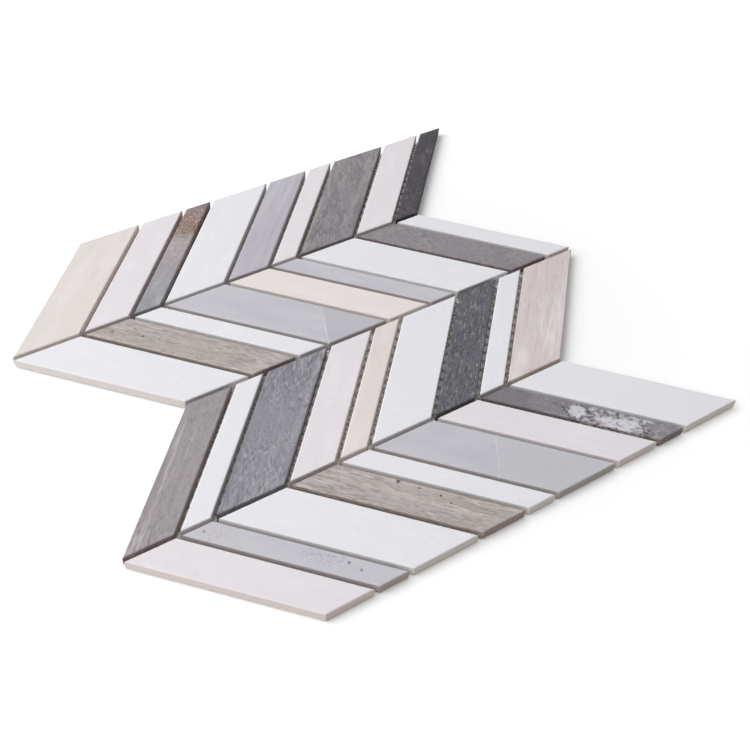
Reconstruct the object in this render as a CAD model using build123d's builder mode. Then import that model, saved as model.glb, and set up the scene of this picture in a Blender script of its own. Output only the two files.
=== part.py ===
"""Chevron marble mosaic sheet.

Thirty-six honed marble chips lie in four rows on a sheet of glass-fibre mesh. Each row holds three sets of
a wide, a medium and a narrow chip, all cut at the same slant, and the slant turns over from row to row, so
the long sides of the chips make a zigzag across the sheet.

Millimetres. X runs along the rows, Y from the front row to the back row, and Z up, out of the honed
faces. The origin is at the middle of the sheet, on the surface that the mesh lies on.
"""

import os
from math import cos, floor, radians, tan

from build123d import *

# Stone sizes
row_depth = 73.8  # one row of chips, from its back edge to its front edge
wide_chip = 28.5  # chip widths, square to their long sides
medium_chip = 20.0
narrow_chip = 12.4
chip_slant = 43.3  # degrees between a chip's long sides and a line straight across its row
chip_thickness = 6.0
eased_edge = 0.8  # radius of the rounded edge round the honed face
joint = 2.2  # open joint between chips, and between rows

# Layout of the sheet
row_names = ["back_row", "second_row", "third_row", "front_row"]
first_chips = [0, 0, 1, 1]  # where each row starts in the order wide, medium, narrow
sets_in_row = 3

# Glass-fibre mesh
thread_pitch = 5.0
thread_width = 1.0
thread_thickness = 0.4
mesh_inset = 2.5  # the mesh is trimmed this far inside the outline of the chips

# Worked out from the sizes above
chip_order = [wide_chip, medium_chip, narrow_chip]
row_pitch = row_depth + joint
slope = tan(radians(chip_slant))  # how far a long side moves along X for each millimetre along Y
along_row = 1 / cos(radians(chip_slant))  # length along X of one millimetre square to the long sides
joint_along_row = joint * along_row
row_length = sets_in_row * sum(width + joint for width in chip_order) * along_row - joint_along_row
half_row = row_depth / 2
sheet_width = len(row_names) * row_pitch - joint
sheet_length = row_length + 2 * half_row * slope
mesh_thickness = 2 * thread_thickness

os.makedirs("parts", exist_ok=True)


def row_centre(row):
    """Y of a row's middle line, counted from the back row."""
    return ((len(row_names) - 1) / 2 - row) * row_pitch


def row_lean(row):
    """Slope of the long sides in a row: the back row leans one way and the next one the other way."""
    return slope if row % 2 == 0 else -slope


def slanted_corners(row, start, end):
    """Corners of a chip that covers start to end along its row's middle line."""
    middle, reach = row_centre(row), row_lean(row) * half_row
    back, front = middle + half_row, middle - half_row
    return [(start + reach, back), (end + reach, back), (end - reach, front), (start - reach, front)]


# Marble chips
for row, row_name in enumerate(row_names):
    chip_start = -row_length / 2
    for position in range(sets_in_row * len(chip_order)):
        chip_width = chip_order[(first_chips[row] + position) % len(chip_order)]
        chip_end = chip_start + chip_width * along_row
        with BuildPart() as chip:
            with BuildSketch(Plane.XY.offset(mesh_thickness)):
                with BuildLine():
                    Polyline(*slanted_corners(row, chip_start, chip_end), close=True)
                make_face()
            extrude(amount=chip_thickness)
            honed_face = chip.faces().sort_by(Axis.Z)[-1]
            fillet(honed_face.edges(), radius=eased_edge)
        chip.part.label = f"{row_name}_chip_{position + 1}"
        export_step(chip.part, f"parts/{chip.part.label}.step")
        chip_start = chip_end + joint_along_row

# Outline of the chips: straight along the back and front, and zigzag at both ends, turning between the rows
last_row = len(row_names) - 1
zigzag = [(row_lean(0) * half_row, row_centre(0) + half_row)]
for row in range(1, len(row_names)):
    zigzag.append((row_lean(row) * row_pitch / 2, row_centre(row) + row_pitch / 2))
zigzag.append((-row_lean(last_row) * half_row, row_centre(last_row) - half_row))
left_end = [(x - row_length / 2, y) for x, y in zigzag]
right_end = [(x + row_length / 2, y) for x, y in zigzag]
with BuildSketch() as mesh_outline:
    with BuildLine():
        Polyline(*left_end, *reversed(right_end), close=True)
    make_face()
    offset(amount=-mesh_inset, kind=Kind.INTERSECTION)


def threads_each_side(span):
    """Threads on each side of the middle one, across a span of mesh."""
    return floor((span / 2 - mesh_inset - thread_width / 2) / thread_pitch)


# Lower threads, along the rows
lengthwise_count = 2 * threads_each_side(sheet_width) + 1
with BuildPart() as lengthwise_threads:
    with BuildSketch():
        with GridLocations(1, thread_pitch, 1, lengthwise_count):
            Rectangle(sheet_length, thread_width)
        add(mesh_outline.sketch, mode=Mode.INTERSECT)
    extrude(amount=thread_thickness)
lengthwise_threads.part.label = "mesh_lengthwise_threads"
export_step(lengthwise_threads.part, "parts/mesh_lengthwise_threads.step")

# Upper threads, across the rows. The zigzag ends cut the outer ones into short lengths.
crosswise_count = 2 * threads_each_side(sheet_length) + 1
shortest_thread = thread_pitch
with BuildSketch(Plane.XY.offset(thread_thickness)) as crosswise_strips:
    with GridLocations(thread_pitch, 1, crosswise_count, 1):
        Rectangle(thread_width, sheet_width)
    add(mesh_outline.sketch, mode=Mode.INTERSECT)
with BuildPart() as crosswise_threads:
    for strip in crosswise_strips.sketch.faces():
        if strip.area > thread_width * shortest_thread:
            extrude(strip, amount=thread_thickness)
crosswise_threads.part.label = "mesh_crosswise_threads"
export_step(crosswise_threads.part, "parts/mesh_crosswise_threads.step")

print("sheet", round(sheet_length, 1), "x", round(sheet_width, 1), "x", round(mesh_thickness + chip_thickness, 1))
print("threads", lengthwise_count, "along and", len(crosswise_threads.solids()), "across")
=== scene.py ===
# %% [markdown]
# A chevron mosaic sheet: thirty-six honed marble chips on a glass-fibre mesh.
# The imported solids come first, because every chip keeps its solid and every new piece is measured from them.
# Lengths are in millimetres unless a comment says metres, and MM turns them into Blender's metres.

# %% Load the frame
from math import ceil, cos, pi, radians, sin

import bpy
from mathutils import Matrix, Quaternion, Vector


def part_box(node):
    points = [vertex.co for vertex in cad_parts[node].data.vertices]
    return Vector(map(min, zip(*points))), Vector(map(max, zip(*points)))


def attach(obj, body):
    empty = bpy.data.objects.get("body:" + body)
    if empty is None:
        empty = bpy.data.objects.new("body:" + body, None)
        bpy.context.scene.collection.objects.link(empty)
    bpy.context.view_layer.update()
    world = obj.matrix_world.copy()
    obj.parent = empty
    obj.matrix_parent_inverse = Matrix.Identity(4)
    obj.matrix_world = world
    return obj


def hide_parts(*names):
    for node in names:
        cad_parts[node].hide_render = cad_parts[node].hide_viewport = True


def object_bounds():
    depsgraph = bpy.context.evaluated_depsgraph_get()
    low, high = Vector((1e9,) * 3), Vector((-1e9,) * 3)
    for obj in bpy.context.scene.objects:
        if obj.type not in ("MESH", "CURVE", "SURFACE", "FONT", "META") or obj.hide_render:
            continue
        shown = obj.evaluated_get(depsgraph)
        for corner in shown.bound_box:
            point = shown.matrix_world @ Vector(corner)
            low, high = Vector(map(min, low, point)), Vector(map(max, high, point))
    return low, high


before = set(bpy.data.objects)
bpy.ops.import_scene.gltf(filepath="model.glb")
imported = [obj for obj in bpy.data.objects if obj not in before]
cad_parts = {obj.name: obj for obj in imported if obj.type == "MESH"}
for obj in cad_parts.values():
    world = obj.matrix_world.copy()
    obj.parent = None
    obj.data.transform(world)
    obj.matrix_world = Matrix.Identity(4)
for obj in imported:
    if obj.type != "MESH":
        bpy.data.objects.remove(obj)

MM = 0.001
cad_low, cad_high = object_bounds()
scene = bpy.context.scene
print("sheet", [round(side / MM, 1) for side in cad_high - cad_low], "mm")

# %% [markdown]
# The four rows lean right and left in turn, and the grain of a stone runs along its chip's long sides.
# So each chip needs its own directions: its middle, and the turn that brings its long sides onto local Y.
# The middle is read from the solid's box, and the slant is the one that the chips were sawn at.

# %% Sizes of the chips
ROW_NAMES = ["back_row", "second_row", "third_row", "front_row"]
CHIPS_IN_ROW = 9
CHIP_SLANT = 43.3  # degrees between a chip's long sides and a line straight across its row
ROUNDED_EDGE = 0.8
CHIP_TOP = cad_high.z / MM
CHIP_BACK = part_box("back_row_chip_1")[0].z / MM


def chip_middle(node):
    """Middle of a chip in plan, in metres."""
    low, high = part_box(node)
    return (low.x + high.x) / 2, (low.y + high.y) / 2


def chip_turn(node):
    """Angle that turns local Y onto the chip's long sides."""
    leans_right = ROW_NAMES.index(node.split("_chip_")[0]) % 2 == 0
    return radians(-CHIP_SLANT if leans_right else CHIP_SLANT)


print("honed faces at", round(CHIP_TOP, 2), "mm and sawn backs at", round(CHIP_BACK, 2), "mm")

# %% [markdown]
# The photograph looks down on the sheet from beyond its front left corner, through a lens of about 50 mm.
# Place, aim and roll were solved from the corners of the joints, so the camera is set by those measures.

# %% Camera
CAMERA_PLACE = Vector((-242.28, -357.63, 449.21)) * MM
CAMERA_AIM = Vector((-0.52, -33.18, 6.8)) * MM
CAMERA_ROLL = 5.76  # degrees
LENS = 50.365

camera = bpy.data.objects.new("camera", bpy.data.cameras.new("camera"))
scene.collection.objects.link(camera)
scene.camera = camera
camera.data.lens = LENS
camera.data.sensor_width = 36
sight = CAMERA_AIM - CAMERA_PLACE
camera.location = CAMERA_PLACE
camera.rotation_mode = "QUATERNION"
camera.rotation_quaternion = sight.to_track_quat("-Z", "Y") @ Quaternion((0, 0, 1), radians(CAMERA_ROLL))
camera.data.clip_start = 0.01
camera.data.clip_end = 100
print("the camera stands", round(sight.length, 3), "m from its aim")

# %% [markdown]
# Materials are built from nodes. One function turns a colour from its hex form to the linear values that
# shaders use, and one adds a node with its settings and links, so each finish below reads as a short recipe.

# %% Helpers for materials
def linear(hex_colour):
    """The linear colour of an sRGB hex value."""
    parts = [int(hex_colour[i:i + 2], 16) / 255 for i in (1, 3, 5)]
    return [c / 12.92 if c <= 0.04045 else ((c + 0.055) / 1.055) ** 2.4 for c in parts] + [1.0]


def new_material(name):
    """An empty material and its shader."""
    material = bpy.data.materials.new(name)
    material.use_nodes = True
    return material, material.node_tree.nodes["Principled BSDF"]


def add_node(material, kind, inputs, **settings):
    """Adds a node. Inputs are values or output sockets, by the input's name or number."""
    node = material.node_tree.nodes.new(kind)
    for name, value in settings.items():
        setattr(node, name, value)
    for name, value in inputs.items():
        if isinstance(value, bpy.types.NodeSocket):
            material.node_tree.links.new(value, node.inputs[name])
        else:
            node.inputs[name].default_value = value
    return node


def stain(material, colour, pattern, tint, start, full, strength=1.0):
    """Lays a tint over a colour where a pattern goes from start to full. The strength can be a pattern too."""
    cover = add_node(
        material, "ShaderNodeMapRange",
        {"Value": pattern, "From Min": start, "From Max": full, "To Max": strength},
        interpolation_type="SMOOTHSTEP",
    )
    mix = add_node(
        material, "ShaderNodeMix", {0: cover.outputs[0], 6: colour, 7: linear(tint)}, data_type="RGBA"
    )
    return mix.outputs[2]


def within(material, value, low, high, soft):
    """1 between two values, falling softly to 0 outside them."""
    rise = add_node(
        material, "ShaderNodeMapRange", {"Value": value, "From Min": low - soft, "From Max": low + soft},
        interpolation_type="SMOOTHSTEP",
    ).outputs[0]
    fall = add_node(
        material, "ShaderNodeMapRange", {"Value": value, "From Min": high + soft, "From Max": high - soft},
        interpolation_type="SMOOTHSTEP",
    ).outputs[0]
    return add_node(material, "ShaderNodeMath", {0: rise, 1: fall}, operation="MULTIPLY").outputs[0]


print("linear white", linear("#FFFFFF"))

# %% [markdown]
# Marble is calcite: crystals a millimetre or less across, lit softly from just under the surface. Its colour
# drifts in soft clouds, and the banded kinds, sawn along their bedding, show fine lines like the grain of wood.
# The chips come from sixteen kinds of stone, and each of these is a recipe of real sizes in millimetres.
# A recipe has the ground colour, a second colour that it drifts to in clouds, and layers of grain. A layer is
# a tint, the width and length of its streaks, how rare they are from 0 to 1, and how strong they are. Broad
# bands come first and short flecks last.

# %% Stones
STONES = {
    "crystal_white": dict(
        ground="#EAE9ED", drift="#E5E4E7", cloud=35,
        layers=[("#F2F1F4", 3, 9, 0.6, 0.35), ("#DAD8DD", 1.4, 2.2, 0.62, 0.3)],
    ),
    "blush_white": dict(
        ground="#E6E1E5", drift="#E2DBDE", cloud=28,
        layers=[("#EAE6E9", 4, 14, 0.55, 0.45), ("#D5CDD0", 1.4, 2.4, 0.62, 0.3)],
    ),
    "cream": dict(
        ground="#E8E4E3", drift="#E4D9D3", cloud=22,
        layers=[("#EEEBEA", 4, 20, 0.55, 0.4), ("#D9CFC9", 1.6, 3.0, 0.64, 0.35)],
    ),
    "soft_beige": dict(
        ground="#E3D9D6", drift="#DCD5D0", cloud=20,
        layers=[
            ("#E9E1DF", 5, 26, 0.5, 0.5), ("#D2C8C6", 3.0, 20, 0.6, 0.4), ("#CDC2BF", 1.2, 2.6, 0.64, 0.35),
        ],
    ),
    "pale_grey": dict(
        ground="#C1BFC5", drift="#CAC9CE", cloud=20,
        layers=[
            ("#B5B3BA", 5.0, 22, 0.5, 0.35), ("#CFCED2", 2.4, 12, 0.62, 0.3), ("#A9A7AE", 1.0, 2.0, 0.62, 0.4),
        ],
    ),
    "lilac_grey": dict(
        ground="#C0BCC4", drift="#B4B0B8", cloud=26,
        layers=[
            ("#C6C3CA", 3.0, 40, 0.52, 0.6), ("#A3A0A9", 1.6, 30, 0.56, 0.5), ("#9F9CA4", 0.9, 4.0, 0.62, 0.35),
        ],
    ),
    "wood_grey": dict(
        ground="#87838A", drift="#8E8789", cloud=24,
        layers=[
            ("#A29A97", 4.0, 26, 0.53, 0.7), ("#6C6A72", 2.6, 14, 0.52, 0.65), ("#A29899", 1.0, 9, 0.58, 0.5),
            ("#5A5861", 0.45, 3.0, 0.52, 0.75), ("#B1AAAC", 0.45, 3.2, 0.57, 0.7),
        ],
    ),
    "wood_brown": dict(
        ground="#BAB1AE", drift="#AEA6A4", cloud=22,
        layers=[
            ("#A3978F", 3.0, 70, 0.54, 0.55), ("#D0C8C3", 1.8, 60, 0.56, 0.6), ("#9E9088", 0.7, 40, 0.55, 0.6),
            ("#897E7A", 0.4, 2.2, 0.52, 0.65), ("#D9D2CE", 0.4, 3.0, 0.58, 0.6),
        ],
    ),
    "wood_taupe": dict(
        ground="#A39C9E", drift="#989296", cloud=24,
        layers=[
            ("#C6BDBB", 3.4, 60, 0.54, 0.85), ("#817B80", 2.2, 40, 0.53, 0.65), ("#8B8689", 0.7, 12, 0.56, 0.5),
            ("#787277", 0.4, 2.2, 0.54, 0.55), ("#B9B1B0", 0.4, 2.4, 0.6, 0.45),
        ],
    ),
    "wood_blue": dict(
        ground="#929096", drift="#878690", cloud=20,
        layers=[
            ("#A9A7AC", 3.4, 50, 0.53, 0.65), ("#74737C", 2.4, 30, 0.54, 0.65), ("#A7A2A0", 0.7, 9, 0.6, 0.45),
            ("#66656E", 0.4, 1.8, 0.52, 0.7), ("#B8B5B4", 0.4, 2.0, 0.58, 0.7),
        ],
    ),
    "wood_beige": dict(
        ground="#D9CFCD", drift="#D4C7C5", cloud=20,
        layers=[
            ("#E8E4E4", 6.0, 30, 0.54, 0.8), ("#CBBBB7", 2.8, 34, 0.53, 0.6), ("#E2DCDC", 1.6, 14, 0.6, 0.6),
            ("#B7A9A6", 0.6, 4.0, 0.58, 0.4),
        ],
    ),
    "warm_grey": dict(
        ground="#8B8589", drift="#948D90", cloud=30,
        layers=[
            ("#7D777A", 2.4, 8.0, 0.54, 0.4), ("#6F696D", 0.6, 1.2, 0.53, 0.65), ("#A6A0A1", 0.6, 1.4, 0.6, 0.7),
        ],
    ),
    "charcoal": dict(
        ground="#312C34", drift="#423C44", cloud=7,
        layers=[
            ("#5B555D", 4.0, 7, 0.52, 0.75), ("#231F26", 3.0, 8, 0.53, 0.65), ("#645E66", 0.45, 1.6, 0.58, 0.75),
            ("#1E1B20", 0.45, 1.6, 0.58, 0.6),
        ],
    ),
    "blue_charcoal": dict(
        ground="#55545B", drift="#5F5E65", cloud=16,
        layers=[
            ("#6A6A73", 2.6, 14, 0.54, 0.6), ("#3B3B42", 0.45, 2.6, 0.52, 0.8), ("#96938F", 0.4, 2.0, 0.58, 0.85),
        ],
    ),
}

# The stones of each row, counted from the left end
LAYOUT = {
    "back_row": "soft_beige blush_white rusty_grey crystal_white lilac_grey blush_white wood_grey"
                " blush_white charcoal",
    "second_row": "crystal_white wood_brown crystal_white pale_grey cream pale_grey crystal_white warm_grey"
                  " crystal_white",
    "third_row": "wood_taupe crystal_white wood_blue blush_white soft_beige crystal_white blue_charcoal"
                 " crystal_white wood_beige",
    "front_row": "blush_white pale_grey crystal_white wood_brown crystal_white pale_grey blush_white breccia"
                 " crystal_white",
}
print(len(STONES), "stone recipes for", len(LAYOUT), "rows")

# %% [markdown]
# A chip's pattern is placed in millimetres in the chip's own directions: X across it, Y along its long sides
# and Z up. A Mapping node of the Texture type does that from Object coordinates. Every noise is
# four-dimensional, and the chip's number is its fourth coordinate, so chips of one stone come from different
# parts of the slab.

# %% The body of a stone
GRAIN_REACH = (2.0, 0, 0)  # the grain strays sideways
GRAIN_BEND = 30.0
FADE_IN = 0.06  # a layer shows from a little below its rarity to a little above it
FADE_FULL = 0.12


def chip_place(material, node):
    """Place in the chip's own directions, in millimetres."""
    object_place = add_node(material, "ShaderNodeTexCoord", {})
    middle_x, middle_y = chip_middle(node)
    mapping = add_node(
        material, "ShaderNodeMapping",
        {
            "Vector": object_place.outputs["Object"], "Location": (middle_x, middle_y, 0),
            "Rotation": (0, 0, chip_turn(node)), "Scale": (MM, MM, MM),
        },
        vector_type="TEXTURE",
    )
    return mapping.outputs[0]


def wandering(material, place, slab, reach, bend, detail=1.0):
    """The same place, led astray by up to half the reach each way, in bends of about that size."""
    drift = add_node(
        material, "ShaderNodeTexNoise",
        {"Vector": place, "W": slab, "Scale": 1 / bend, "Detail": detail}, noise_dimensions="4D",
    )
    centred = add_node(
        material, "ShaderNodeVectorMath", {0: drift.outputs["Color"], 1: (0.5, 0.5, 0.5)}, operation="SUBTRACT"
    )
    moved = add_node(
        material, "ShaderNodeVectorMath",
        {0: centred.outputs[0], 1: reach, 2: place}, operation="MULTIPLY_ADD",
    )
    return moved.outputs[0]


def patches(material, place, slab, width, length):
    """Noise from 0 to 1, in patches of about that width, drawn out along the chip to about that length."""
    drawn_out = add_node(
        material, "ShaderNodeVectorMath", {0: place, 1: (1 / width, 1 / length, 1 / width)}, operation="MULTIPLY"
    )
    noise = add_node(
        material, "ShaderNodeTexNoise",
        {"Vector": drawn_out.outputs[0], "W": slab + width, "Scale": 0.5, "Detail": 3.0, "Roughness": 0.55},
        noise_dimensions="4D",
    )
    return noise.outputs["Fac"]


def stone_body(material, place, slab, recipe):
    """Ground colour, clouds and grain of a stone."""
    clouds = add_node(
        material, "ShaderNodeTexNoise",
        {"Vector": place, "W": slab, "Scale": 1 / recipe["cloud"], "Detail": 2.0}, noise_dimensions="4D",
    )
    ground = add_node(
        material, "ShaderNodeMix",
        {0: clouds.outputs["Fac"], 6: linear(recipe["ground"]), 7: linear(recipe["drift"])}, data_type="RGBA",
    )
    colour = ground.outputs[2]
    bedding = wandering(material, place, slab, GRAIN_REACH, GRAIN_BEND)
    for tint, width, length, rarity, strength in recipe["layers"]:
        pattern = patches(material, bedding, slab, width, length)
        colour = stain(material, colour, pattern, tint, rarity - FADE_IN, rarity + FADE_FULL, strength)
    return colour


print("the grain strays by", GRAIN_REACH[0] / 2, "mm each way")

# %% [markdown]
# Every chip is worked the same way. Its face is honed marble, which has a soft sheen and no mirror image. Its
# walls are sawn, so they are duller, with faint lines from the blade, and their colour is multiplied by a tint
# that is partly their sawn finish and partly painted shade. Its back is sawn too, and dulled by the glue that
# holds the mesh. All three are found by height, since the rounded edge starts where the face ends.
# Calcite has an IOR of about 1.5. Its sheen is weaker than that gives, because honing leaves fine scratches.

# %% The finish of a chip
CRYSTAL = 0.9  # across a calcite crystal, drawn a little coarse so that it shows
SAW_LINE = 0.5
SAW_STRETCH = 20.0  # a blade line stays the same for about this far along a wall
GLUE_HEIGHT = 0.4
HONED_SKIN = 0.02  # what lies this close under the top counts as the honed face
HONED_ROUGHNESS = 0.38
SAWN_ROUGHNESS = 0.66
CRYSTAL_ROUGHNESS = 0.16
RELIEF_DEPTH = 0.03


def finish_chip(material, shader, place, slab, colour, crystal_tint, wall_shade_tint):
    """Crystals, sawn walls tinted with partly painted shade, glued back, sheen and relief, on any stone."""
    crystals = add_node(
        material, "ShaderNodeTexNoise",
        {"Vector": place, "W": slab, "Scale": 1 / CRYSTAL, "Detail": 3.0, "Roughness": 0.7},
        noise_dimensions="4D",
    )
    colour = stain(material, colour, crystals.outputs["Fac"], crystal_tint, 0.45, 0.75, 0.14)

    height = add_node(material, "ShaderNodeSeparateXYZ", {0: place}).outputs["Z"]
    sawn = add_node(
        material, "ShaderNodeMapRange",
        {"Value": height, "From Min": CHIP_TOP - ROUNDED_EDGE / 3, "From Max": CHIP_TOP - ROUNDED_EDGE},
    ).outputs[0]
    blade_place = add_node(
        material, "ShaderNodeVectorMath",
        {0: place, 1: (1 / SAW_STRETCH, 1 / SAW_STRETCH, 1 / SAW_LINE)}, operation="MULTIPLY",
    )
    blade_lines = add_node(
        material, "ShaderNodeTexNoise",
        {"Vector": blade_place.outputs[0], "W": slab, "Scale": 1.0, "Detail": 2.0}, noise_dimensions="4D",
    ).outputs["Fac"]
    rounded = add_node(
        material, "ShaderNodeMapRange",
        {"Value": height, "From Min": CHIP_TOP - HONED_SKIN, "From Max": CHIP_TOP - ROUNDED_EDGE / 3},
    ).outputs[0]
    # Painted shade, partly: below the rounded edge the colour is multiplied by the wall tint.
    wall = add_node(
        material, "ShaderNodeMix", {0: sawn, 6: colour, 7: linear(wall_shade_tint)},
        data_type="RGBA", blend_type="MULTIPLY",
    ).outputs[2]
    wall = stain(material, wall, height, "#B9B2A4", CHIP_BACK + GLUE_HEIGHT, CHIP_BACK, 0.35)
    material.node_tree.links.new(wall, shader.inputs["Base Color"])

    worked = add_node(
        material, "ShaderNodeMapRange",
        {"Value": rounded, "To Min": HONED_ROUGHNESS, "To Max": SAWN_ROUGHNESS},
    ).outputs[0]
    rough = add_node(
        material, "ShaderNodeMath", {0: crystals.outputs["Fac"], 1: CRYSTAL_ROUGHNESS, 2: worked},
        operation="MULTIPLY_ADD",
    ).outputs[0]
    material.node_tree.links.new(rough, shader.inputs["Roughness"])

    relief = add_node(
        material, "ShaderNodeMix", {0: sawn, 2: crystals.outputs["Fac"], 3: blade_lines}, data_type="FLOAT"
    ).outputs[0]
    depth = add_node(
        material, "ShaderNodeBump", {"Height": relief, "Strength": 0.25, "Distance": RELIEF_DEPTH * MM}
    )
    material.node_tree.links.new(depth.outputs[0], shader.inputs["Normal"])
    shader.inputs["IOR"].default_value = 1.5
    shader.inputs["Specular IOR Level"].default_value = 0.3


print("walls are sawn below", round(CHIP_TOP - ROUNDED_EDGE, 2), "mm")

# %% [markdown]
# Some chips show marks of their own. Two pale grey chips are crossed by a thin calcite vein, three chips have
# a few dark pits, and one has patches of fine specks. Each mark is placed in its chip's own millimetres,
# counted from the chip's middle.

# %% Veins, pits and specks
def white_vein(material, place, slab, colour, point, angle, beyond):
    """A thin vein through a point, at an angle from the chip's X. The stone before it has another tint."""
    bent = wandering(material, place, slab, (0, 3.0, 0), 7.0, 3.0)
    centred = add_node(
        material, "ShaderNodeMapping",
        {"Vector": bent, "Location": (*point, 0), "Rotation": (0, 0, radians(angle))}, vector_type="TEXTURE",
    ).outputs[0]
    across = add_node(material, "ShaderNodeSeparateXYZ", {0: centred}).outputs["Y"]
    colour = stain(material, colour, across, beyond, 0.8, -0.8, 0.55)
    fading = patches(material, place, slab, 2.5, 2.5)
    return stain(material, colour, fading, "#DADADE", 0.3, 0.6, within(material, across, -0.25, 0.25, 0.35))


def spot(material, place, slab, centre, reach, waver, bend):
    """Distance from the middle of a spot, 1 at its rim. The rim wavers by so many mm, in bends of that size."""
    wavy = wandering(material, place, slab, (waver, waver, 0), bend, 3.0)
    centred = add_node(
        material, "ShaderNodeMapping",
        {"Vector": wavy, "Location": (*centre, 0), "Scale": (*reach, 100)}, vector_type="TEXTURE",
    ).outputs[0]
    return add_node(material, "ShaderNodeVectorMath", {0: centred}, operation="LENGTH").outputs["Value"]


def pits(material, place, slab, colour, tint, holes):
    """Small dark pits. Each is a place across and along the chip, and a radius."""
    for across, along, radius in holes:
        rim = spot(material, place, slab, (across, along), (radius, radius), 2 * radius, radius)
        colour = stain(material, colour, rim, tint, 1.3, 0.6, 0.85)
    return colour


def specks(material, place, slab, colour, areas):
    """Areas of fine specks, fewer towards the rim. Each is a tint, a middle and a reach each way."""
    for tint, centre, reach in areas:
        rim = spot(material, place, slab, centre, reach, 6.0, 5.0)
        inside = within(material, rim, -1.0, 0.7, 0.4)
        colour = stain(material, colour, patches(material, place, slab, 0.5, 0.8), tint, 0.5, 0.62, inside)
    return colour


VEINS = {
    "second_row_chip_4": ((-2.2, -31.2), 24, "#B3B2B8"),
    "front_row_chip_6": ((0.0, -1.3), 14, "#C3C2C7"),
}
PITS = {
    "second_row_chip_2": ("#6B615D", [(-1.5, 28.5, 0.8), (-0.4, 18.6, 0.8), (-3.5, 46.5, 0.9), (3.0, 35.0, 0.6)]),
    "front_row_chip_2": ("#74737B", [(-1.2, 46.8, 0.9), (2.3, -27.0, 0.9), (0.0, -34.0, 0.8)]),
    "front_row_chip_4": ("#37322F", [(8.4, 7.6, 1.1), (6.1, -15.7, 0.8), (7.4, -4.0, 0.6), (3.0, -22.0, 0.6)]),
}
SPECKS = {
    "front_row_chip_2": [("#A9A8AF", (1.0, -15.0), (5.0, 15.0)), ("#BDB2A8", (-1.0, 42.0), (5.0, 9.0))],
}
print(len(VEINS), "chips with a vein,", len(PITS), "with pits and", len(SPECKS), "with specks")


# %% [markdown]
# Two chips are unlike the rest. One is grey marble, turning to pinkish beige and then to rust near its back
# end. The other is a breccia: grey stone that broke in the ground and was healed by white calcite, with dark
# cracks left round the white. Both are laid out along the chip, and noise makes every boundary uneven.

# %% Rusty grey and breccia
def uneven_along(material, place, slab, waver, bend):
    """Place along the chip, shifted here and there, so that a band at it has an uneven edge."""
    uneven = wandering(material, place, slab, (0, waver, 0), bend, 3.0)
    return add_node(material, "ShaderNodeSeparateXYZ", {0: uneven}).outputs["Y"]


def rusty_grey(material, place, slab):
    """Grey marble that turns to pinkish beige and then to rust."""
    recipe = dict(
        ground="#95959B", drift="#A2A2A7", cloud=9,
        layers=[
            ("#B1AFB3", 4.0, 7, 0.55, 0.6), ("#87868C", 2.0, 5, 0.58, 0.5), ("#7C7B80", 0.7, 1.2, 0.56, 0.5),
        ],
    )
    colour = stone_body(material, place, slab, recipe)
    along = uneven_along(material, place, slab, 24.0, 5.0)
    mottle = patches(material, place, slab, 1.1, 1.5)
    colour = stain(material, colour, along, "#A2999C", -30, -8, 0.75)
    colour = stain(material, colour, mottle, "#B9ACA9", 0.4, 0.65, within(material, along, -6, 18, 9))
    colour = stain(material, colour, along, "#95887F", 10, 24, 0.7)
    rust = within(material, along, 20, 42, 6)
    colour = stain(material, colour, mottle, "#8D6E62", 0.35, 0.6, rust)
    colour = stain(material, colour, patches(material, place, slab, 0.5, 0.7), "#66463E", 0.52, 0.64, rust)
    colour = stain(material, colour, patches(material, place, slab, 0.7, 0.8), "#C4B2A8", 0.54, 0.68, rust)
    return stain(material, colour, along, "#7B7272", 41, 48, 0.8)


def breccia(material, place, slab):
    """Grey marble, broken and healed by white calcite in the middle of the chip and below it."""
    recipe = dict(
        ground="#8E8B8F", drift="#7F7C81", cloud=8,
        layers=[
            ("#6F6C71", 4.0, 7, 0.54, 0.6), ("#ABA7AA", 0.8, 1.6, 0.57, 0.6), ("#5B585D", 0.7, 1.2, 0.58, 0.6),
        ],
    )
    colour = stone_body(material, place, slab, recipe)
    along = uneven_along(material, place, slab, 16.0, 5.0)
    colour = stain(material, colour, along, "#6D6A6F", 18, 36, 0.6)
    broken = within(material, along, -42, 4, 6)
    colour = stain(material, colour, patches(material, place, slab, 1.5, 2.0), "#C6C3C8", 0.42, 0.58, broken)
    cracks = patches(material, place, slab, 1.3, 1.6)
    for centre, reach in (((0.0, 3.0), (4.6, 6.5)), ((-2.0, -21.0), (5.4, 14.0))):
        rim = spot(material, place, slab, centre, reach, 12.0, 4.0)
        colour = stain(material, colour, rim, "#DAD8DD", 1.1, 0.6, 0.8)
        colour = stain(material, colour, cracks, "#3C383F", 0.46, 0.56, within(material, rim, 1.0, 1.25, 0.2))
    colour = stain(material, colour, patches(material, place, slab, 0.6, 0.9), "#4D4850", 0.56, 0.68, broken)
    rust = spot(material, place, slab, (-4.6, -9.0), (1.8, 5.0), 3.0, 2.0)
    return stain(material, colour, rust, "#9A7872", 1.0, 0.4, 0.5)


SPECIAL_STONES = {"rusty_grey": rusty_grey, "breccia": breccia}
print("special stones:", ", ".join(SPECIAL_STONES))
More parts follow.
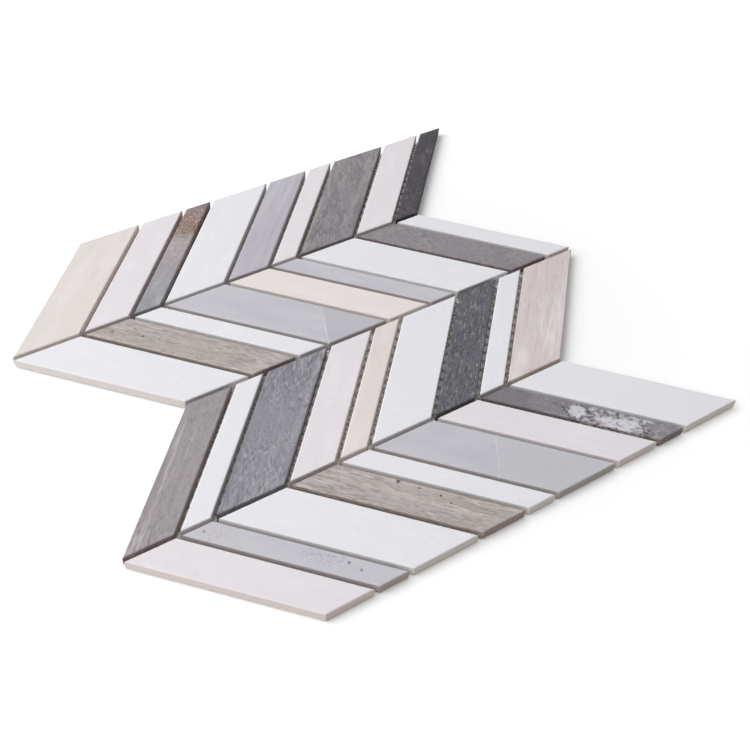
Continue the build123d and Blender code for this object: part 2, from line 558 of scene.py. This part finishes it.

# %% [markdown]
# Now each chip gets its own material, because its pattern starts from its own middle. The solids themselves
# stay as they are: the rounded edge is already in them. The walls of the dark stones are multiplied by a darker,
# warmer tint, partly their sawn finish and partly painted shade. White stones' walls keep almost the colour of
# their faces, painted light in place of the light that white marble lets through.

# %% Dress the chips
WHITE_STONES = ("crystal_white", "blush_white", "cream", "soft_beige")
slab = 0
for row in ROW_NAMES:
    for place_in_row, stone in enumerate(LAYOUT[row].split()):
        slab += 1
        node = f"{row}_chip_{place_in_row + 1}"
        material, shader = new_material(f"{stone}_{node}")
        place = chip_place(material, node)
        if stone in SPECIAL_STONES:
            colour = SPECIAL_STONES[stone](material, place, slab)
        else:
            colour = stone_body(material, place, slab, STONES[stone])
        if node in VEINS:
            colour = white_vein(material, place, slab, colour, *VEINS[node])
        if node in PITS:
            colour = pits(material, place, slab, colour, *PITS[node])
        if node in SPECKS:
            colour = specks(material, place, slab, colour, SPECKS[node])
        # The wall tint is partly the sawn finish and partly painted shade; white stones get almost none.
        crystal_tint, wall_shade_tint = ("#FFFFFF", "#FFFDFA") if stone in WHITE_STONES else ("#CFCBC8", "#ECE5DC")
        finish_chip(material, shader, place, slab, colour, crystal_tint, wall_shade_tint)
        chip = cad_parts[node]
        chip.data.materials.clear()
        chip.data.materials.append(material)
print(slab, "chips dressed")

# %% [markdown]
# The mesh on the back is a net of coated glass-fibre threads. It is woven: each thread passes over one thread
# and under the next. One wave of a thread is a curve with three points, flattened once it is a mesh. Array
# modifiers turn it into a long thread, then into pairs of threads half a wave apart, and then into a net.

# %% Weave a set of threads
THREAD_PITCH = 5.0
THREAD_WIDTH = 1.0
THREAD_THICKNESS = 0.4
MESH_MIDDLE = THREAD_THICKNESS  # the height at which the two sets of threads touch
NET_REACH = 200.0  # the net starts out larger than the sheet
HANDLE_REACH = 0.36 * THREAD_PITCH  # makes the curve close to a sine wave
WELD_DISTANCE = 0.01


def make_current(piece):
    """Selects one piece alone and makes it the active one."""
    bpy.ops.object.select_all(action="DESELECT")
    piece.select_set(True)
    bpy.context.view_layer.objects.active = piece


def repeat(piece, count, step):
    """Repeats a piece with an Array modifier and welds the copies where they meet."""
    array = piece.modifiers.new("repeat", "ARRAY")
    array.count = count
    array.use_relative_offset = False
    array.use_constant_offset = True
    array.constant_offset_displace = step
    array.use_merge_vertices = True
    array.merge_threshold = WELD_DISTANCE * MM
    make_current(piece)
    bpy.ops.object.modifier_apply(modifier=array.name)


def wavy_threads(name):
    """A square net's lengthwise threads, each half a wave behind the last. One has a crest at the origin."""
    bpy.ops.object.select_all(action="DESELECT")
    bpy.ops.curve.primitive_bezier_curve_add(location=(0, 0, 0))
    thread = bpy.context.object
    thread.name = name
    points = thread.data.splines[0].bezier_points
    points.add(1)
    rise = THREAD_THICKNESS / 2
    for number, point in enumerate(points):
        place = Vector((number * THREAD_PITCH, 0, rise if number % 2 == 0 else -rise)) * MM
        reach = Vector((HANDLE_REACH * MM, 0, 0))
        point.co, point.handle_left, point.handle_right = place, place - reach, place + reach
    thread.data.dimensions = "3D"
    thread.data.resolution_u = 4
    thread.data.bevel_depth = THREAD_THICKNESS / 2 * MM
    thread.data.bevel_resolution = 1
    bpy.ops.object.convert(target="MESH")
    waves = ceil(NET_REACH / THREAD_PITCH)
    wave = 2 * THREAD_PITCH * MM
    for vertex in thread.data.vertices:
        vertex.co.y *= THREAD_WIDTH / THREAD_THICKNESS
        vertex.co.x -= waves / 2 * wave
        vertex.co.z += MESH_MIDDLE * MM
    repeat(thread, waves, (wave, 0, 0))
    repeat(thread, 2, (wave / 2, wave / 2, 0))
    repeat(thread, waves, (0, wave, 0))
    for vertex in thread.data.vertices:
        vertex.co.y -= waves / 2 * wave
    return thread


along_rows = wavy_threads("woven_lengthwise_threads")
across_rows = wavy_threads("woven_crosswise_threads")
for vertex in across_rows.data.vertices:
    vertex.co.x, vertex.co.y = vertex.co.y, vertex.co.x + THREAD_PITCH * MM
make_current(across_rows)
bpy.ops.object.mode_set(mode="EDIT")
bpy.ops.mesh.select_all(action="SELECT")
bpy.ops.mesh.flip_normals()
bpy.ops.object.mode_set(mode="OBJECT")
print("threads woven,", len(along_rows.data.polygons), "faces each way before trimming")

# %% [markdown]
# The net is trimmed just inside the zigzag outline of the chips. An outline that turns can't be cut by single
# planes, so the net is first parted into the four rows, halfway along their joints. Each row is trimmed by
# one slanted plane at each end, and then the rows are welded together again.

# %% Trim the mesh to the zigzag
MESH_INSET = 2.5


def cut(point, outward, fill):
    """Cuts the current mesh by a plane and drops what lies outward of it."""
    bpy.ops.mesh.select_all(action="SELECT")
    bpy.ops.mesh.bisect(plane_co=point, plane_no=outward, use_fill=fill, clear_outer=True)


def trim_to_zigzag(net):
    """Cuts a net into the four rows, trims each row's ends and welds the rows together."""
    joints_between_rows = len(ROW_NAMES) - 1
    bands = []
    for number, row in enumerate(ROW_NAMES):
        first_low, first_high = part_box(f"{row}_chip_1")
        last_low, last_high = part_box(f"{row}_chip_{CHIPS_IN_ROW}")
        all_joints = cad_high.y - cad_low.y - len(ROW_NAMES) * (first_high.y - first_low.y)
        half_joint = all_joints / joints_between_rows / 2
        outer_back, outer_front = number == 0, number == joints_between_rows
        back = first_high.y - MESH_INSET * MM if outer_back else first_high.y + half_joint
        front = first_low.y + MESH_INSET * MM if outer_front else first_low.y - half_joint
        turn = chip_turn(f"{row}_chip_1")
        right = Vector((cos(turn), sin(turn), 0))
        left_corner = Vector((first_low.x, first_low.y if turn < 0 else first_high.y, 0))
        right_corner = Vector((last_high.x, last_high.y if turn < 0 else last_low.y, 0))

        make_current(net)
        bpy.ops.object.duplicate()
        band = bpy.context.object
        bpy.ops.object.mode_set(mode="EDIT")
        cut((0, back, 0), (0, 1, 0), outer_back)
        cut((0, front, 0), (0, -1, 0), outer_front)
        cut(left_corner + right * MESH_INSET * MM, -right, True)
        cut(right_corner - right * MESH_INSET * MM, right, True)
        bpy.ops.object.mode_set(mode="OBJECT")
        bands.append(band)
    bpy.data.objects.remove(net)
    make_current(bands[0])
    for band in bands[1:]:
        band.select_set(True)
    bpy.ops.object.join()
    bpy.ops.object.mode_set(mode="EDIT")
    bpy.ops.mesh.select_all(action="SELECT")
    bpy.ops.mesh.remove_doubles(threshold=WELD_DISTANCE / 2 * MM)
    bpy.ops.object.mode_set(mode="OBJECT")
    bpy.ops.object.shade_smooth_by_angle(angle=radians(50))
    return bands[0]


mesh_paint, mesh_shader = new_material("coated_glass_fibre")
for threads, node in ((along_rows, "mesh_lengthwise_threads"), (across_rows, "mesh_crosswise_threads")):
    name = threads.name
    trimmed = trim_to_zigzag(threads)
    trimmed.name = name
    trimmed.data.materials.append(mesh_paint)
    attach(trimmed, "root")
    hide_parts(node)
    low = [round(min(vertex.co[axis] for vertex in trimmed.data.vertices) / MM, 2) for axis in range(3)]
    high = [round(max(vertex.co[axis] for vertex in trimmed.data.vertices) / MM, 2) for axis in range(3)]
    print(name, len(trimmed.data.polygons), "faces from", low, "to", high, "mm")

# %% [markdown]
# Each thread is a flat bundle of glass filaments in a resin coat. The coat gives a dull, even sheen, the
# filaments a fine fuzz, and the glue yellows it in places. The fuzz is drawn coarser than filaments are, so
# that it shows.

# %% The finish of the mesh
FUZZ = 0.4
GLUE_PATCH = 20.0

fibre_place = add_node(mesh_paint, "ShaderNodeTexCoord", {}).outputs["Object"]
millimetres = add_node(
    mesh_paint, "ShaderNodeVectorMath", {0: fibre_place, 1: (1 / MM, 1 / MM, 1 / MM)}, operation="MULTIPLY"
).outputs[0]
fuzz = add_node(
    mesh_paint, "ShaderNodeTexNoise", {"Vector": millimetres, "Scale": 1 / FUZZ, "Detail": 4.0}
).outputs[0]
glue = add_node(
    mesh_paint, "ShaderNodeTexNoise", {"Vector": millimetres, "Scale": 1 / GLUE_PATCH, "Detail": 3.0}
).outputs[0]
fibre = stain(mesh_paint, linear("#C6BBAA"), fuzz, "#D8D0C2", 0.45, 0.7, 0.7)
fibre = stain(mesh_paint, fibre, glue, "#A89A84", 0.5, 0.75, 0.6)
mesh_paint.node_tree.links.new(fibre, mesh_shader.inputs["Base Color"])
mesh_shader.inputs["Roughness"].default_value = 0.55
fuzz_relief = add_node(mesh_paint, "ShaderNodeBump", {"Height": fuzz, "Strength": 0.5, "Distance": 0.05 * MM})
mesh_paint.node_tree.links.new(fuzz_relief.outputs[0], mesh_shader.inputs["Normal"])
print("mesh finished in", mesh_paint.name)

# %% [markdown]
# The light. A large soft lamp stands beyond the left end and a little behind, so it lights the honed faces and
# the walls that face left, and leaves the front walls in shade. A weaker one hangs high behind the sheet. The
# world fills the rest, brighter from behind and from the left. The floor looks white to the camera, and warm
# grey to the light that it throws back onto the walls. It glows a little, and more the further it is from the
# sheet, so that it stays white where the lamps no longer reach.

# %% Floor
FLOOR_SIZE = 6.0  # metres, as are the next two
GLOW_STARTS = 0.12
GLOW_FULL = 1.2
FLOOR_GAP = 0.05  # millimetres under the sheet


def looked_at(material):
    """For a material or a world, 1 where the camera looks, straight or by a mirror image or through glass."""
    path = add_node(material, "ShaderNodeLightPath", {}).outputs
    direct = add_node(
        material, "ShaderNodeMath", {0: path["Is Camera Ray"], 1: path["Is Glossy Ray"]}, operation="MAXIMUM"
    ).outputs[0]
    return add_node(
        material, "ShaderNodeMath", {0: direct, 1: path["Is Transmission Ray"]}, operation="MAXIMUM"
    ).outputs[0]


bpy.ops.object.select_all(action="DESELECT")
bpy.ops.mesh.primitive_plane_add(size=FLOOR_SIZE, location=(0, 0, -FLOOR_GAP * MM))
floor_plane = bpy.context.object
floor_plane.name = "studio_floor"
floor_paint, floor_shader = new_material("studio_floor")
floor_seen = looked_at(floor_paint)
floor_tone = add_node(
    floor_paint, "ShaderNodeMix", {0: floor_seen, 6: linear("#E2D6C9"), 7: linear("#FFFFFF")}, data_type="RGBA"
)
floor_paint.node_tree.links.new(floor_tone.outputs[2], floor_shader.inputs["Base Color"])
floor_place = add_node(floor_paint, "ShaderNodeTexCoord", {}).outputs["Object"]
away = add_node(floor_paint, "ShaderNodeVectorMath", {0: floor_place}, operation="LENGTH").outputs["Value"]
glow = add_node(
    floor_paint, "ShaderNodeMapRange",
    {"Value": away, "From Min": GLOW_STARTS, "From Max": GLOW_FULL, "To Min": 0.05, "To Max": 1.0},
).outputs[0]
glow_seen = add_node(floor_paint, "ShaderNodeMath", {0: glow, 1: floor_seen}, operation="MULTIPLY").outputs[0]
floor_paint.node_tree.links.new(glow_seen, floor_shader.inputs["Emission Strength"])
floor_shader.inputs["Emission Color"].default_value = (1, 1, 1, 1)
floor_shader.inputs["Roughness"].default_value = 1.0
floor_shader.inputs["Specular IOR Level"].default_value = 0.0
floor_plane.data.materials.append(floor_paint)
print("floor", FLOOR_SIZE, "m across")

# %% Lamps and world
LAMP_DISTANCE = 2.2  # metres
WORLD_LIGHT = 0.26  # on average: more from behind and from the left, less from the dark room in front
SKY_BRIGHT_SIDE = (-0.35, 0.60, 0.72)
SKY_SPREAD = 0.7  # the bright side has so much more than the average, and the dark side so much less


def softbox(name, direction, size, share):
    """A round soft lamp. Its share is what it adds to a white face that is turned towards it."""
    light = bpy.data.lights.new(name, "AREA")
    lamp = bpy.data.objects.new(name, light)
    scene.collection.objects.link(lamp)
    direction = Vector(direction).normalized()
    lamp.location = direction * LAMP_DISTANCE
    lamp.rotation_mode = "QUATERNION"
    lamp.rotation_quaternion = (-direction).to_track_quat("-Z", "Y")
    light.shape = "DISK"
    light.size = size
    light.energy = share * (pi * LAMP_DISTANCE) ** 2


softbox("back_softbox", (-0.20, 0.40, 0.89), 2.0, 0.25)
softbox("left_softbox", (-0.72, 0.13, 0.68), 2.0, 0.76)

world = bpy.data.worlds.new("studio")
scene.world = world
world.use_nodes = True
sky = world.node_tree.nodes["Background"]
sky.inputs["Color"].default_value = linear("#FBFCFF")
sky_direction = add_node(world, "ShaderNodeTexCoord", {}).outputs["Generated"]
towards_bright = add_node(
    world, "ShaderNodeVectorMath", {0: sky_direction, 1: SKY_BRIGHT_SIDE}, operation="DOT_PRODUCT"
).outputs["Value"]
sky_light = add_node(
    world, "ShaderNodeMapRange",
    {
        "Value": towards_bright, "From Min": -1, "To Min": (1 - SKY_SPREAD) * WORLD_LIGHT,
        "To Max": (1 + SKY_SPREAD) * WORLD_LIGHT,
    },
).outputs[0]
strength = add_node(
    world, "ShaderNodeMapRange", {"Value": looked_at(world), "To Min": sky_light, "To Max": 1.0}
).outputs[0]
world.node_tree.links.new(strength, sky.inputs["Strength"])

scene.view_settings.view_transform = "Standard"
print("two softboxes, and a world of strength", WORLD_LIGHT)
